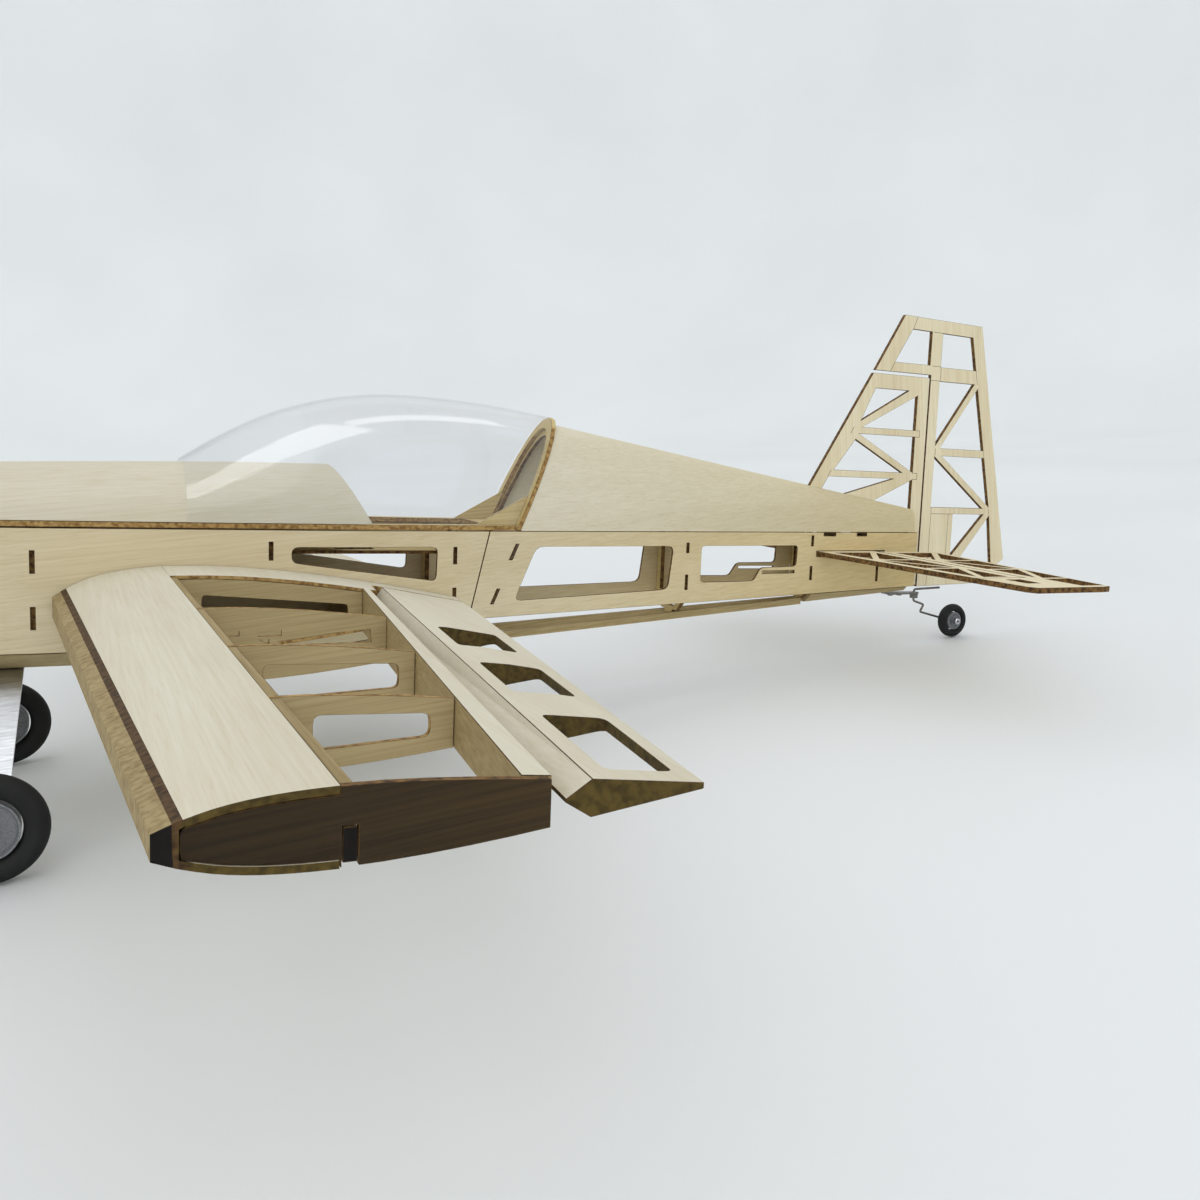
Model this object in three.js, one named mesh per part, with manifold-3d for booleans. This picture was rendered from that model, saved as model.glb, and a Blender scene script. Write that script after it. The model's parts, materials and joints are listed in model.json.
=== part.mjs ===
// Balsa and plywood airframe of a 1 m aerobatic model aeroplane, bare as it leaves the building board.
// Units are millimetres. The airframe is drawn on body axes: x runs aft, y to starboard and z up, with
// z = 0 on the deck line and x = 0 near the rear edge of the wing's leading-edge sheeting. One group at
// the end tips it nose-up on to its three wheels and puts the origin under its bounding box's centre.
import * as THREE from "three";
import { mergeVertices } from "three/addons/utils/BufferGeometryUtils.js";
import Module from "manifold-3d";

const wasm = await Module();
wasm.setup();

// ---------------------------------------------------------------- driving dimensions
const RUNNING = 0.1;             // radial clearance of a wheel or wire in its bore
const GAP = 0.3;                 // clearance left between glued or running neighbours
const TAIL_LOW = 6.5;            // standing attitude, degrees nose-up

const SIDE_SHEET = 2;            // fuselage side thickness
const PLY = 3;                   // plywood former thickness
const NOSE_X = -205;             // rear face of the firewall
const TAIL_X = 559.5;            // rear end of the fuselage sides
const HALF_WIDTHS = [[NOSE_X, 32], [-60, 40.5], [106, 40.5], [TAIL_X, 6.7]];
const SIDE_BOTTOMS = [[NOSE_X, -54], [-110, -67], [106, -67], [150, -61], [185, -55.7], [TAIL_X, -43.5]];
const KEEL_BOTTOMS = [[NOSE_X, -64], [-110, -78], [106, -78], [172, -75], [452, -54.5], [TAIL_X, -46.5]];
const KEEL_HALF_WIDTHS = [[NOSE_X, 18], [106, 20], [172, 18], [452, 5], [TAIL_X, 3.5]];
const SPLIT_TOP_X = 191.2;       // joint between the front and rear side panels, at the deck line
const SPLIT_LEAN = 0.233;        // how far it leans aft per mm of height

const DECK_HEIGHTS = [[NOSE_X, 27], [14.8, 37], [120, 38.5]];
const DECK_REAR = { baseX: 116.5, lean: -0.54 };
const SEAT = 3.9;                // bottom of the deck sheet and canopy, above the hatch frame
const CANOPY_FRONT_X = 14.8;
const CANOPY_TOPS = [[14.8, 38.3], [41, 56.4], [67, 69.4], [95, 78.4], [124, 82.6], [154, 83.4],
  [185, 81.6], [217, 78.4], [240, 74.6]];
const ARCH_X = 209.2;            // canopy's rear arch, front face at the deck line
const ARCH_LEAN = 0.43;          // it leans aft by this per mm of height
const TURTLE_X = 212.4;          // turtle deck's front edge at the deck line
const TURTLE_FRONT_TOP = 70.6;    // crown height at its slanted front edge
const ARCH_TOP = 74.2;            // the canopy arch stands a little proud of it
const TURTLE_HEIGHTS = [[TURTLE_X + ARCH_LEAN * TURTLE_FRONT_TOP, TURTLE_FRONT_TOP], [461, 34.2],
  [556, 19.2]];
const GUSSET_FRONT_X = 184.5;    // front corner of the gussets at the foot of the arch
const DECK_SLOTS = [[462.5, 474.3], [495.4, 505.6]];   // tab slots in the sides, under the deck line
const FORMER_XS = { wingFront: -60, wingRear: 168.5, mid: 340.2, rear: 451.9, tail: 518.4 };

const HALF_SPAN = 500;
const ROOT_Y = 42;
const WING = {
  le: [-51, -34.5], te: [168.9, 89.2], z: [-42, -25], thickness: [0.2, 0.146],
  hinge: [113, 52.5], stripFront: [106.5, 42],
};
const SHEET = 1.8;               // wing sheeting thickness
const DBOX_REAR = 1.5;
const LE_STICK = 4.6;            // chordwise depth of the leading-edge stick
const LE_NOSE = 0.6;             // its front face, as a share of the section's height behind it
const RIB = 2.4;
const RIB_YS = [41.2, 86.8, 211, 311, 402, 497.2];   // inboard face of each rib
const ROOT_SHEET_Y = 89.4;
const SPAR = { x: 2.3, thickness: 3 };
const AILERON = { inner: 64.1, outer: 499.3, bevel: 6.6, teHalf: 0.8 };
const AILERON_WINDOWS = {
  spans: [[229, 285], [328, 387], [424, 489]],
  frontMargin: 6.3,              // behind the bevel
  rearMargins: [10, 5.2],        // ahead of the trailing edge, at the root and at the tip
};
const ROOT_BLOCK_Y = 61.9;
const TUBE = { x: -20, z: -40.5, r: 6, half: 88 };
const TUBE_RIBS = 2;             // ribs on each side that the tube passes through
const STRIP_GAP = 3;             // between the rear spar and the aileron's hinge line

const STICK = 3.5;               // thickness of the tail surfaces
const HINGE_GAP = 0.6;           // each side of a tail hinge line
const STAB_SLOT = STICK / 2 + 0.5;   // half height of the slot in the sides that takes the stabiliser
const STAB = { z: -16.3, le: [457.5, 460.5], hinge: [514.5, 498], te: [572, 533], root: 14, tip: 236,
  hornY: 187.5 };
const FIN_HINGE_X = 565.5;
const TAIL_WIRE_R = 0.9;
const MAIN_BOLT_R = 1.9;
const TAIL_WHEEL = { x: 606.5, y: -2, z: -73.6, r: 14.3, width: 9 };
const MAIN_WHEEL = { x: -80, y: 112, r: 28, width: 15 };

// ---------------------------------------------------------------- materials
const material = (color, roughness, metalness = 0) =>
  new THREE.MeshStandardMaterial({ color, roughness, metalness });
const balsa = material(0xdccfae, 0.75);
const balsaSide = material(0xcdbb90, 0.75);
const ply = material(0xc9ad72, 0.7);
const plySide = material(0x9c7f47, 0.7);
const clearSheet = new THREE.MeshStandardMaterial({
  color: 0xe8eef0, roughness: 0.08, metalness: 0, transparent: true, opacity: 0.35,
});
const blackRubber = material(0x0b0b0b, 0.8);
const greyPlastic = material(0x8e9194, 0.45);
const steel = material(0xb9bcc0, 0.3, 1);
const aluminium = material(0xc9ccd0, 0.35, 1);

// ---------------------------------------------------------------- small helpers
// Straight-line interpolation in a table of [x, value] rows, held flat past both ends.
function lookup(table, x) {
  if (x <= table[0][0]) return table[0][1];
  for (let i = 1; i < table.length; i += 1) {
    const [x1, v1] = table[i];
    if (x <= x1) {
      const [x0, v0] = table[i - 1];
      return v0 + ((v1 - v0) * (x - x0)) / (x1 - x0);
    }
  }
  return table[table.length - 1][1];
}

const halfWidth = (x) => lookup(HALF_WIDTHS, x);
const sideBottom = (x) => lookup(SIDE_BOTTOMS, x);
const keelBottom = (x) => lookup(KEEL_BOTTOMS, x);
const keelHalf = (x) => lookup(KEEL_HALF_WIDTHS, x);
const between = (from, to, steps) =>
  Array.from({ length: steps + 1 }, (_, i) => from + ((to - from) * i) / steps);

// Merges shared vertices and turns the faces outwards.
function closed(geometry) {
  geometry.deleteAttribute("normal");
  geometry.deleteAttribute("uv");
  geometry.clearGroups();
  const merged = mergeVertices(geometry, 1e-4);
  const p = merged.attributes.position;
  const index = merged.index.array;
  const a = new THREE.Vector3();
  const b = new THREE.Vector3();
  const c = new THREE.Vector3();
  let volume = 0;
  for (let i = 0; i < index.length; i += 3) {
    a.fromBufferAttribute(p, index[i]);
    b.fromBufferAttribute(p, index[i + 1]);
    c.fromBufferAttribute(p, index[i + 2]);
    volume += a.dot(b.cross(c));
  }
  if (volume < 0) {
    for (let i = 0; i < index.length; i += 3) {
      [index[i + 1], index[i + 2]] = [index[i + 2], index[i + 1]];
    }
  }
  return merged;
}

function toSolid(geometry) {
  const g = closed(geometry);
  return new wasm.Manifold(new wasm.Mesh({
    numProp: 3,
    vertProperties: new Float32Array(g.attributes.position.array),
    triVerts: new Uint32Array(g.index.array),
  }));
}

function fromSolid(solid) {
  const mesh = solid.getMesh();
  const g = new THREE.BufferGeometry();
  g.setAttribute("position", new THREE.BufferAttribute(new Float32Array(mesh.vertProperties), 3));
  g.setIndex(new THREE.BufferAttribute(new Uint32Array(mesh.triVerts), 1));
  return g;
}

function join(geometries) {
  return fromSolid(geometries.map(toSolid).reduce((a, b) => a.add(b)));
}

function cut(geometry, cutters) {
  return fromSolid(cutters.map(toSolid).reduce((a, b) => a.subtract(b), toSolid(geometry)));
}

const shapeOf = (points) => new THREE.Shape(points.map(([a, b]) => new THREE.Vector2(a, b)));

// Replaces each corner of a polygon by an arc of three chords.
function rounded(points, radius) {
  const out = [];
  points.forEach((corner, i) => {
    const here = new THREE.Vector2(...corner);
    const before = new THREE.Vector2(...points[(i + points.length - 1) % points.length]);
    const after = new THREE.Vector2(...points[(i + 1) % points.length]);
    const start = here.clone().add(before.sub(here).setLength(radius));
    const end = here.clone().add(after.sub(here).setLength(radius));
    const curve = new THREE.QuadraticBezierCurve(start, here, end);
    curve.getPoints(3).forEach((q) => out.push([q.x, q.y]));
  });
  return out;
}

// Moves each edge of a convex polygon inwards by its own margin.
function inset(points, margins) {
  const n = points.length;
  const centre = points.reduce((s, q) => [s[0] + q[0] / n, s[1] + q[1] / n], [0, 0]);
  const edges = points.map((p, i) => {
    const q = points[(i + 1) % n];
    const length = Math.hypot(q[0] - p[0], q[1] - p[1]);
    let nx = (p[1] - q[1]) / length;
    let ny = (q[0] - p[0]) / length;
    if (nx * (centre[0] - p[0]) + ny * (centre[1] - p[1]) < 0) [nx, ny] = [-nx, -ny];
    const margin = Array.isArray(margins) ? margins[i] : margins;
    return { nx, ny, d: nx * p[0] + ny * p[1] + margin };
  });
  return edges.map((e, i) => {
    const f = edges[(i + n - 1) % n];
    const det = e.nx * f.ny - e.ny * f.nx;
    return [(e.d * f.ny - f.d * e.ny) / det, (e.nx * f.d - f.nx * e.d) / det];
  });
}

const extrude = (shape, depth) =>
  new THREE.ExtrudeGeometry(shape, { depth, bevelEnabled: false, steps: 1, curveSegments: 6 });

// A flat sheet with its holes cut out, lying in the drawing plane.
function pierced(points, depth, holes) {
  const sheet = extrude(shapeOf(points), depth);
  if (holes.length === 0) return sheet;
  return cut(sheet, holes.map((hole) => extrude(shapeOf(hole), depth + 2).translate(0, 0, -1)));
}

// Flat plates: drawn in (x, z) and laid between y and y - depth, in (y, z) from x aft, in (x, y) from z up.
const plateXZ = (points, y, depth, holes = []) =>
  pierced(points, depth, holes).rotateX(Math.PI / 2).translate(0, y, 0);

function plateYZ(points, x, depth, holes = []) {
  const turn = new THREE.Matrix4().makeBasis(
    new THREE.Vector3(0, 1, 0), new THREE.Vector3(0, 0, 1), new THREE.Vector3(1, 0, 0));
  return pierced(points, depth, holes).applyMatrix4(turn).translate(x, 0, 0);
}

const plateXY = (points, z, depth, holes = []) => pierced(points, depth, holes).translate(0, 0, z);

const box = (x0, x1, y0, y1, z0, z1) =>
  new THREE.BoxGeometry(x1 - x0, y1 - y0, z1 - z0)
    .translate((x0 + x1) / 2, (y0 + y1) / 2, (z0 + z1) / 2);

const rodY = (x, z, r, y0, y1, sides = 16) =>
  new THREE.CylinderGeometry(r, r, Math.abs(y1 - y0), sides).translate(x, (y0 + y1) / 2, z);

// Joins matching polygons, given as lists of Vector3, into one closed skin with flat caps. The cap
// triangulation is made on the two axes named, which the polygons span.
function loft(sections, a = "x", b = "z") {
  const n = sections[0].length;
  const position = sections.flat().flatMap((p) => [p.x, p.y, p.z]);
  const index = [];
  for (let s = 0; s + 1 < sections.length; s += 1) {
    for (let i = 0; i < n; i += 1) {
      const j = (i + 1) % n;
      const [p, q, r, t] = [s * n + i, s * n + j, (s + 1) * n + i, (s + 1) * n + j];
      index.push(p, q, t, p, t, r);
    }
  }
  const cap = (section) => THREE.ShapeUtils.triangulateShape(
    section.map((p) => new THREE.Vector2(p[a], p[b])), []);
  const last = (sections.length - 1) * n;
  const clockwise = THREE.ShapeUtils.isClockWise(
    sections[0].map((p) => new THREE.Vector2(p[a], p[b])));
  cap(sections[0]).forEach((t) => index.push(...(clockwise ? [t[0], t[1], t[2]] : [t[0], t[2], t[1]])));
  cap(sections.at(-1)).forEach((t) => index.push(
    ...(clockwise ? [last + t[0], last + t[2], last + t[1]] : [last + t[0], last + t[1], last + t[2]])));
  const g = new THREE.BufferGeometry();
  g.setAttribute("position", new THREE.Float32BufferAttribute(position, 3));
  g.setIndex(index);
  return g;
}

// The starboard twin of a port piece.
function mirrored(geometry) {
  const g = geometry.clone();
  const p = g.attributes.position;
  for (let i = 0; i < p.count; i += 1) p.setY(i, -p.getY(i));
  return g;
}

// A half superellipse from (+w, base) over the top to (-w, base), as [y, z] points.
function arch(w, top, base, steps = 14, power = 2.15) {
  return between(0, Math.PI, steps).map((t) => {
    const c = Math.cos(t);
    const s = Math.max(Math.sin(t), 0);
    const y = Math.sign(c) * w * Math.abs(c) ** (2 / power);
    return [y, base + (top - base) * s ** (2 / power)];
  });
}

// ---------------------------------------------------------------- scene
const airframe = new THREE.Group();

function add(name, geometry, surface) {
  const mesh = new THREE.Mesh(closed(geometry), surface);
  mesh.name = name;
  airframe.add(mesh);
}

function addPair(name, geometry, surface) {
  const twin = mirrored(geometry.index ? geometry : mergeVertices(geometry));
  add(`${name}_left`, geometry, surface);
  add(`${name}_right`, twin, surface);
}

// ---------------------------------------------------------------- fuselage sides
// A side panel stretch between two x stations, bent to the fuselage's plan shape.
function sideStretch(points) {
  const g = extrude(shapeOf(points), SIDE_SHEET);
  const p = g.attributes.position;
  for (let i = 0; i < p.count; i += 1) {
    const [x, z, t] = [p.getX(i), p.getY(i), p.getZ(i)];
    p.setXYZ(i, x, -halfWidth(x) + SIDE_SHEET - t, z);
  }
  return g;
}

const sideCutter = (points) => plateXZ(points, 0, 60);
const slot = (x, top, bottom, lean = 0) => {
  const half = 1.1;
  return sideCutter([[x - half + lean * top, top], [x - half + lean * bottom, bottom],
    [x + half + lean * bottom, bottom], [x + half + lean * top, top]]);
};

function frontSide() {
  const foot = SPLIT_TOP_X - 0.2 + SPLIT_LEAN * sideBottom(180);
  const stretches = [
    [[NOSE_X, 0], [NOSE_X, sideBottom(NOSE_X)], [-110, sideBottom(-110)], [-60, sideBottom(-60)], [-60, 0]],
    [[-60, 0], [-60, sideBottom(-60)], [106, sideBottom(106)], [106, 0]],
    [[106, 0], [106, sideBottom(106)], [150, sideBottom(150)], [foot, sideBottom(foot)],
      [SPLIT_TOP_X - 0.2, 0]],
  ];
  const cockpitWindow = rounded([[70.4, -10], [157, -10], [156.4, -31], [70.4, -19]], 3.5);
  const cutters = [
    sideCutter(cockpitWindow),
    slot(58.9, -6.9, -17.4),
    slot(FORMER_XS.wingRear, -10, -20.6),
    slot(FORMER_XS.wingRear, -35.7, -42.6),
    slot(FORMER_XS.wingFront, -12, -24),
    slot(FORMER_XS.wingFront, -42, -54),
    rodY(TUBE.x, TUBE.z, TUBE.r + GAP, -60, 0, 20),
  ];
  return cut(join(stretches.map(sideStretch)), cutters);
}

function rearSide() {
  const foot = SPLIT_TOP_X + 0.2 + SPLIT_LEAN * sideBottom(180);
  const panel = sideStretch([[SPLIT_TOP_X + 0.2, 0], [foot, sideBottom(foot)], [185, sideBottom(185)],
    [TAIL_X, sideBottom(TAIL_X)], [TAIL_X, 0]]);
  const frontWindow = rounded([[224, -10], [328.5, -10], [325, -40.5], [209, -45]], 5);
  const rearWindow = rounded([[352, -10], [438, -10], [437.3, -25.7], [404.5, -26.2], [398.5, -36],
    [352, -36]], 3);
  const stabSlot = [[STAB.le[0] - 1.2, STAB.z + STAB_SLOT], [525, STAB.z + STAB_SLOT],
    [525, STAB.z - STAB_SLOT], [STAB.le[0] - 1.2, STAB.z - STAB_SLOT]];
  const guideSlot = [[406, -28.6], [436, -28.6], [436, -30.8], [406, -30.8]];
  return cut(panel, [
    sideCutter(frontWindow),
    sideCutter(rearWindow),
    sideCutter(stabSlot),
    sideCutter(guideSlot),
    slot(TURTLE_X + 1.4, -8.1, -18.4, ARCH_LEAN),
    slot(TURTLE_X + 1.4, -37, -46.6, ARCH_LEAN),
    slot(FORMER_XS.mid, -7.8, -14.8),
    slot(FORMER_XS.mid, -30.5, -41),
    slot(FORMER_XS.rear, -2.6, -10.5),
    slot(FORMER_XS.rear, -25.9, -36.3),
    slot(FORMER_XS.tail, -26.9, -38.6),
    ...DECK_SLOTS.map(([x0, x1]) => sideCutter([[x0, -0.4], [x0, -2.9], [x1, -2.9], [x1, -0.4]])),
  ]);
}

// ---------------------------------------------------------------- formers and firewall
const railY = (x) => lookup([[170, 16.5], [450, 4]], x);
const railZ = (x) => lookup([[170, -72.5], [450, -53.6]], x);

// Cutters that let both belly rails through a former near station x.
function railNotches(x, reach) {
  return [-1, 1].map((side) => {
    const y = side * railY(x);
    return box(x - reach, x + reach, y - 2.7, y + 2.7, railZ(x) - 14, railZ(x) + 3.4);
  });
}

const innerHalf = (x) => halfWidth(x) - SIDE_SHEET - GAP;

// Lower outline of a former: down the sides, then in to the keel.
function hullBelow(x) {
  const w = innerHalf(x);
  const keel = keelHalf(x) - 1;
  return [[-w, sideBottom(x) + 1.5], [-keel, keelBottom(x) + 2.6],
    [keel, keelBottom(x) + 2.6], [w, sideBottom(x) + 1.5]];
}

function boxFormer(x, rim) {
  const w = innerHalf(x);
  const bottom = keelBottom(x) + 2.6;
  const outline = [[-w, -0.5], ...hullBelow(x), [w, -0.5]];
  const hole = rounded([[-w + rim, -rim], [-w + rim, sideBottom(x) + rim],
    [-keelHalf(x) + 3, bottom + rim], [keelHalf(x) - 3, bottom + rim], [w - rim, sideBottom(x) + rim],
    [w - rim, -rim]], 4);
  return plateYZ(outline, x - PLY / 2, PLY, [hole]);
}

function turtleFormer(x, rim) {
  const w = innerHalf(x);
  const top = lookup(TURTLE_HEIGHTS, x) - SHEET - 2 * GAP;
  const outline = [...arch(w, top, 0.6, 10), ...hullBelow(x)];
  const hole = [...arch(w - rim, top - rim, 2, 10), [-w + rim, sideBottom(x) + rim],
    [w - rim, sideBottom(x) + rim]];
  return plateYZ(outline, x - PLY / 2, PLY, [hole]);
}

function midFormer() {
  const x = FORMER_XS.mid;
  const ring = turtleFormer(x, 6);
  const w = innerHalf(x);
  const keel = keelHalf(x);
  const lightening = plateYZ([[-w + 9, sideBottom(x) + 2.5], [-keel + 1.5, keelBottom(x) + 8],
    [keel - 1.5, keelBottom(x) + 8], [w - 9, sideBottom(x) + 2.5]], x - 5, 10);
  return cut(ring, [lightening, ...railNotches(x, 5)]);
}

// A former that stands in the slanted plane behind the canopy, drawn as (y, height) points.
function slantedPlate(points, x, thickness, holes = []) {
  const g = plateYZ(points, 0, thickness * Math.hypot(1, ARCH_LEAN), holes);
  const p = g.attributes.position;
  for (let i = 0; i < p.count; i += 1) p.setX(i, p.getX(i) + x + ARCH_LEAN * p.getZ(i));
  return g;
}

function slantedFormer() {
  const w = innerHalf(TURTLE_X);
  const top = TURTLE_FRONT_TOP - SHEET - 2 * GAP;
  const outline = [...arch(w, top, 0.6), ...hullBelow(TURTLE_X - 20)];
  const hole = [...arch(w - 6, top - 6, 3), ...[[-w + 6, -42], [-8, -62], [8, -62], [w - 6, -42]]];
  const plate = slantedPlate(outline, TURTLE_X, 2.4, [hole]);
  return cut(plate, railNotches(TURTLE_X + ARCH_LEAN * railZ(TURTLE_X), 14));
}

function tailFormer() {
  const x = FORMER_XS.tail;
  const w = innerHalf(x);
  const top = STAB.z - STICK / 2 - GAP;
  return plateYZ([[-w, top], [-w, sideBottom(x) + 2], [w, sideBottom(x) + 2], [w, top]],
    x - PLY / 2, PLY);
}

function firewall() {
  const w = HALF_WIDTHS[0][1];
  const outline = [...arch(w, DECK_HEIGHTS[0][1], 0), [-w, sideBottom(NOSE_X)],
    [-keelHalf(NOSE_X), keelBottom(NOSE_X)], [keelHalf(NOSE_X), keelBottom(NOSE_X)],
    [w, sideBottom(NOSE_X)]];
  const thickness = 5;
  const plate = plateYZ(outline, NOSE_X - GAP - thickness, thickness);
  const thrustZ = -14;
  const boreX = (y, z, r) => new THREE.CylinderGeometry(r, r, 20, 16)
    .rotateZ(Math.PI / 2).translate(NOSE_X, y, z);
  const bolts = [[-1, -1], [-1, 1], [1, -1], [1, 1]].map(([a, b]) => boreX(a * 13, thrustZ + b * 13, 1.6));
  return cut(plate, [boreX(0, thrustZ, 7), ...bolts, boreX(20, -38, 4), boreX(-20, -38, 4)]);
}

// ---------------------------------------------------------------- belly

function bellyRail() {
  const half = 2;
  const section = (x) => [[-1, -1], [1, -1], [1, 1], [-1, 1]].map(([a, b]) =>
    new THREE.Vector3(x, -railY(x) + a * half, railZ(x) + b * 2.4));
  return loft([section(FORMER_XS.wingRear + 1.9), section(FORMER_XS.rear - 1.9)], "y", "z");
}

function channelSection(x, sheet = 1.8) {
  const [w, k, zs, zk] = [halfWidth(x), keelHalf(x), sideBottom(x) - GAP, keelBottom(x)];
  const outer = [[-w, zs], [-k, zk], [k, zk], [w, zs]];
  const inner = [[w - 3, zs], [k - 0.8, zk + sheet], [-k + 0.8, zk + sheet], [-w + 3, zs]];
  return [...outer, ...inner].map(([y, z]) => new THREE.Vector3(x, y, z));
}

const frontBelly = () => loft([NOSE_X + GAP, -110, -60, 106, 150, 169.4].map((x) => channelSection(x)),
  "y", "z");

function rearBelly() {
  const section = (x) => {
    const [w, k, zs, zk] = [halfWidth(x), keelHalf(x), sideBottom(x) - GAP, keelBottom(x)];
    return [[-w, zs], [-k, zk], [k, zk], [w, zs]].map(([y, z]) => new THREE.Vector3(x, y, z));
  };
  return loft([section(FORMER_XS.rear + 2), section(551.5)], "y", "z");
}

// ---------------------------------------------------------------- turtle deck
function shellRow(w, top, base, sheet, place, steps = 14) {
  const outer = arch(w, top, base, steps);
  const inner = arch(w - sheet, top - sheet, base, steps).reverse();
  return [...outer, ...inner].map(([y, z]) => place(y, z));
}

function turtleDeck() {
  const base = 0.4;
  const rows = between(0, 1, 6).map((t) => {
    const foot = TURTLE_X + (556 - TURTLE_X) * t;
    const crownStart = TURTLE_HEIGHTS[0][0];
    const crown = crownStart + (556 - crownStart) * t;
    const height = lookup(TURTLE_HEIGHTS, crown);
    const place = (y, z) => new THREE.Vector3(foot + ((crown - foot) * (z - base)) / (height - base), y, z);
    return shellRow(halfWidth(foot), height, base, SHEET, place);
  });
  const finSlot = box(453.2, 560, -STICK / 2 - 0.35, STICK / 2 + 0.35, 6, 60);
  return cut(loft(rows, "y", "z"), [finSlot]);
}

// ---------------------------------------------------------------- hatch: frame, deck sheet and canopy
function deckSheet() {
  const rows = between(0, 1, 5).map((t) => {
    const foot = NOSE_X + GAP + (DECK_REAR.baseX - NOSE_X - GAP) * t;
    const rearTop = DECK_REAR.baseX + DECK_REAR.lean * 36;
    const crown = NOSE_X + GAP + (rearTop - NOSE_X - GAP) * t;
    const top = lookup(DECK_HEIGHTS, crown);
    const place = (y, z) => new THREE.Vector3(foot + ((crown - foot) * (z - SEAT)) / (top - SEAT), y, z);
    return shellRow(halfWidth(foot) - 0.2, top, SEAT, SHEET, place);
  });
  return loft(rows, "y", "z");
}

function canopy() {
  const sheet = 0.9;
  const rearFoot = ARCH_X - 0.6;
  const rearTop = lookup(CANOPY_TOPS, 240);
  const crownEnd = rearFoot + ARCH_LEAN * rearTop;
  const rows = between(0, 1, 10).map((t) => {
    const foot = CANOPY_FRONT_X + (rearFoot - CANOPY_FRONT_X) * t;
    const crown = CANOPY_FRONT_X + (crownEnd - CANOPY_FRONT_X) * t;
    const top = lookup(CANOPY_TOPS, crown) + GAP;
    const place = (y, z) => new THREE.Vector3(foot + ((crown - foot) * (z - SEAT)) / (top - SEAT), y, z);
    return shellRow(halfWidth(foot) + 1.1 - 0.6 * t, top, SEAT, sheet, place, 16);
  });
  return loft(rows, "y", "z");
}

function hatchFrame() {
  const thickness = 3;
  const xs = [NOSE_X + GAP, -60, 106, ARCH_X - 1];
  const edge = (grow) => [...xs.map((x) => [x, -halfWidth(x) + 0.2 + grow]),
    ...xs.slice().reverse().map((x) => [x, halfWidth(x) - 0.2 - grow])];
  const holes = [
    rounded([[NOSE_X + 12, -24], [-60, -31], [96, -31], [96, 31], [-60, 31], [NOSE_X + 12, 24]], 4),
    rounded([[108, -31], [192, -24], [192, 24], [108, 31]], 5),
  ];
  const base = plateXY(edge(0), 0.6, thickness, holes);
  const w = halfWidth(ARCH_X) - 0.2;
  const archPlate = slantedPlate(arch(w, ARCH_TOP, 0.6), ARCH_X, 2.6, [arch(w - 7, ARCH_TOP - 7, 8)]);
  const gusset = plateXZ([[GUSSET_FRONT_X, 3.2], [ARCH_X + 1.5, 3.2], [ARCH_X + 1 + ARCH_LEAN * 22, 22],
    [ARCH_X - 1 + ARCH_LEAN * 22, 22]], -24, 2.4);
  const dashHalf = innerHalf(90) - 1;
  const dash = plateYZ(arch(dashHalf, 34, 3.2), 93, 2.4, [arch(dashHalf - 8, 25, 9)]);
  const noseBulkhead = plateYZ(arch(28, 24, 3.2), NOSE_X + 4, 2.4, [arch(18, 17, 8)]);
  return join([base, archPlate, gusset, mirrored(closed(gusset.clone())), dash, noseBulkhead]);
}

// ---------------------------------------------------------------- radio tray, gear plate, tube
function radioTray() {
  const z = -15;
  const w = 27;
  const plate = box(NOSE_X + 0.4, 166.5, -w, w, z, z + 2);
  const strapSlots = [-178, -150, -122, -94].flatMap((x) =>
    [-1, 1].map((side) => box(x, x + 16, side * 20 - 2, side * 20 + 2, z - 5, z + 5)));
  const servoHoles = [-1, 1].map((side) => box(100, 123, side * 12 - 6, side * 12 + 6, z - 5, z + 5));
  const yoke = box(57.4, 60.4, -38, 38, -17.3, -7);
  return cut(join([plate, yoke]), [...strapSlots, ...servoHoles]);
}

const gearPlate = () => plateXY([[-106, -16], [-62.2, -16], [-62.2, 16], [-106, 16]], -75.8, 3,
  [[[-88, -9], [-72, -9], [-72, 9], [-88, 9]]]);

function wingTube() {
  const profile = [[TUBE.r - 1, -TUBE.half], [TUBE.r, -TUBE.half], [TUBE.r, TUBE.half],
    [TUBE.r - 1, TUBE.half], [TUBE.r - 1, -TUBE.half]].map(([a, b]) => new THREE.Vector2(a, b));
  return new THREE.LatheGeometry(profile, 20).translate(TUBE.x, 0, TUBE.z);
}

// ---------------------------------------------------------------- wing panels (port side drawn)
const share = (y) => (Math.abs(y) - ROOT_Y) / (HALF_SPAN - ROOT_Y);
const wingValue = (pair, y) => THREE.MathUtils.lerp(pair[0], pair[1], share(y));

// Half thickness of the symmetrical section at chordwise place x, a NACA four-digit form.
function halfThick(x, y) {
  const le = wingValue(WING.le, y);
  const chord = wingValue(WING.te, y) - le;
  const t = THREE.MathUtils.clamp((x - le) / chord, 0, 1);
  const poly = 0.2969 * Math.sqrt(t) - 0.126 * t - 0.3516 * t ** 2 + 0.2843 * t ** 3 - 0.1015 * t ** 4;
  return 5 * wingValue(WING.thickness, y) * chord * poly;
}

function leadingEdgeBox() {
  const section = (y) => {
    const le = wingValue(WING.le, y);
    const z = wingValue(WING.z, y);
    const stick = le + LE_STICK;
    const xs = between(stick, DBOX_REAR, 5);
    const upper = xs.map((x) => [x, halfThick(x, y)]);
    const inner = between(DBOX_REAR, stick + 0.6, 5).map((x) => [x, halfThick(x, y) - SHEET]);
    const nose = LE_NOSE * halfThick(stick, y);
    const top = [[le, nose], ...upper, ...inner];
    const bottom = top.slice().reverse().map(([x, h]) => [x, -h]);
    return [...top, ...bottom].map(([x, h]) => new THREE.Vector3(x, -y, z + h));
  };
  return loft([section(41.2), section(HALF_SPAN)]);
}

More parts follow.
